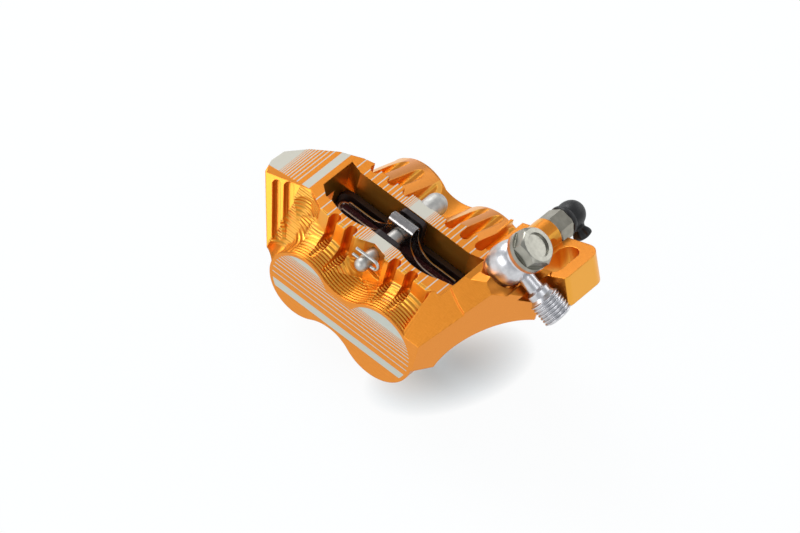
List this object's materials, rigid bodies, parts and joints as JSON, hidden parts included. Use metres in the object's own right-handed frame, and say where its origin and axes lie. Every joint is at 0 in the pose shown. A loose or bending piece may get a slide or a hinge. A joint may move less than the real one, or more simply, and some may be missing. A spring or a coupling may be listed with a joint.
{
  "type": "bicycle disc brake caliper",
  "caption": "Finned bicycle disc brake caliper: opposed pistons press sprung pads on a rotor; with swivelling hose fitting, capped bleed nipple and slotted mounting ears.",
  "frame": {"origin": "point on the rotor's mid plane midway between the piston axes", "axes": "+X along the piston row towards the hose fitting, +Y along the rotor's axis towards the bore caps, +Z outwards from the wheel's centre"},
  "size_m": [0.0888, 0.0612, 0.057],
  "materials": {
    "anodised": "bright orange anodise over machined faces, pale etched lines",
    "seal_rubber": "matt black",
    "piston_steel": "ground and polished",
    "plate_black": "black oxide",
    "lining": "matt maroon friction compound",
    "spring_dark": "dark spring strip, bright at the saddle",
    "pin_steel": "bead-blasted head",
    "wire_steel": "bright drawn wire",
    "satin_alloy": "satin silver",
    "bolt_steel": "turned and plated",
    "copper": "plain copper colour",
    "nipple_nickel": "dull nickel plate",
    "cap_rubber": "semi-gloss black"
  },
  "bodies": {
    "caliper": {"caliper_body": "anodised", "bore_cap_small": "anodised", "bore_cap_large": "anodised", "cap_seal_small": "seal_rubber", "cap_seal_large": "seal_rubber", "inner_seal_small": "seal_rubber", "inner_seal_large": "seal_rubber", "outer_seal_small": "seal_rubber", "outer_seal_large": "seal_rubber", "pad_pin": "pin_steel", "pad_spring": "spring_dark", "banjo_bolt": "bolt_steel", "banjo_washer_lower": "copper", "banjo_washer_upper": "copper"},
    "inner_pad": {"inner_pad_plate": "plate_black", "inner_pad_lining": "lining"},
    "outer_pad": {"outer_pad_plate": "plate_black", "outer_pad_lining": "lining"},
    "hose_fitting": {"banjo": "satin_alloy"},
    "nipple": {"bleed_nipple": "nipple_nickel"},
    "cap": {"bleed_cap": "cap_rubber"},
    "clip": {"pin_clip": "wire_steel"},
    "inner_piston_small": {"inner_piston_small": "piston_steel"},
    "inner_piston_large": {"inner_piston_large": "piston_steel"},
    "outer_piston_small": {"outer_piston_small": "piston_steel"},
    "outer_piston_large": {"outer_piston_large": "piston_steel"}
  },
  "joints": [
    {"name": "inner_pad_slide", "type": "slide", "parent": "caliper", "child": "inner_pad", "axis": [0, 1, 0], "range_m": [0, 0.001]},
    {"name": "outer_pad_slide", "type": "slide", "parent": "caliper", "child": "outer_pad", "axis": [0, -1, 0], "range_m": [0, 0.001]},
    {"name": "inner_piston_small_slide", "type": "slide", "parent": "caliper", "child": "inner_piston_small", "axis": [0, 1, 0], "range_m": [0, 0.001]},
    {"name": "inner_piston_large_slide", "type": "slide", "parent": "caliper", "child": "inner_piston_large", "axis": [0, 1, 0], "range_m": [0, 0.001]},
    {"name": "outer_piston_small_slide", "type": "slide", "parent": "caliper", "child": "outer_piston_small", "axis": [0, -1, 0], "range_m": [0, 0.001]},
    {"name": "outer_piston_large_slide", "type": "slide", "parent": "caliper", "child": "outer_piston_large", "axis": [0, -1, 0], "range_m": [0, 0.001]},
    {"name": "banjo_swivel", "type": "hinge", "parent": "caliper", "child": "hose_fitting", "pos_m": [0.0289, 0.0043, 0.0239], "axis": [0.4623, 0.1736, 0.8695], "range_deg": [-75, 0]},
    {"name": "nipple_turn", "type": "hinge", "parent": "caliper", "child": "nipple", "pos_m": [0.0294, 0.026, 0.0224], "axis": [0, 1, 0], "range_deg": [0, 180]},
    {"name": "cap_pull", "type": "slide", "parent": "nipple", "child": "cap", "axis": [0, 1, 0], "range_m": [0, 0.012]},
    {"name": "clip_pull", "type": "slide", "parent": "caliper", "child": "clip", "axis": [1, 0, 0], "range_m": [0, 0.0065]}
  ],
  "couplings": [
    {"joint": "outer_pad_slide", "follows": "inner_pad_slide", "ratio": 1},
    {"joint": "inner_piston_small_slide", "follows": "inner_pad_slide", "ratio": 1},
    {"joint": "inner_piston_large_slide", "follows": "inner_pad_slide", "ratio": 1},
    {"joint": "outer_piston_small_slide", "follows": "inner_pad_slide", "ratio": 1},
    {"joint": "outer_piston_large_slide", "follows": "inner_pad_slide", "ratio": 1}
  ]
}
